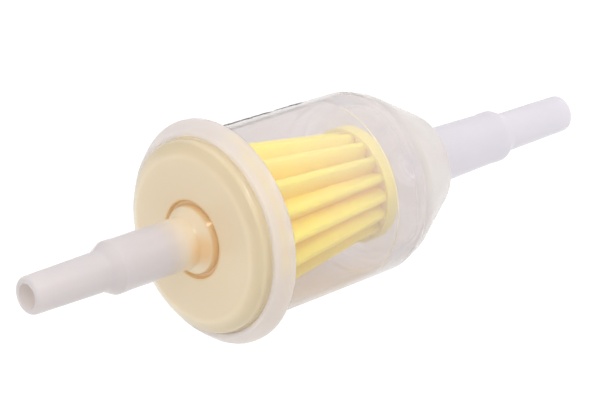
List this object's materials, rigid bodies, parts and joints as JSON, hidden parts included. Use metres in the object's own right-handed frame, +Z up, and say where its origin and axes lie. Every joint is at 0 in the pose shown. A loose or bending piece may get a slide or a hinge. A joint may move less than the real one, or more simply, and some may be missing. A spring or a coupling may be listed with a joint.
{
  "type": "fuel filter",
  "caption": "In-line fuel filter with a clear plastic body, a welded end cap, two-step hose nipples at both ends and a pleated paper cone inside.",
  "frame": {"origin": "middle of the filter's box, on the axis that both nipples share", "axes": "+X along the direction of flow, from the cap's nipple to the housing's nipple; +Z up; +Y to the left of the flow"},
  "size_m": [0.1146, 0.036, 0.036],
  "materials": {
    "housing_plastic": "clear moulded polyamide, slightly milky, glossy",
    "cap_plastic": "natural moulded polyamide, cream where thick, glossy",
    "collar_plastic": "natural plastic, satin",
    "disc_plastic": "natural plastic, satin",
    "filter_paper": "resin-impregnated pleated paper, matt",
    "adhesive": "set potting adhesive, satin"
  },
  "bodies": {
    "root": {"cap": "cap_plastic", "housing": "housing_plastic", "element_collar": "collar_plastic", "collar_adhesive": "adhesive", "paper_element": "filter_paper", "seam_adhesive": "adhesive", "end_disc_adhesive": "adhesive", "end_disc": "disc_plastic"}
  },
  "joints": []
}
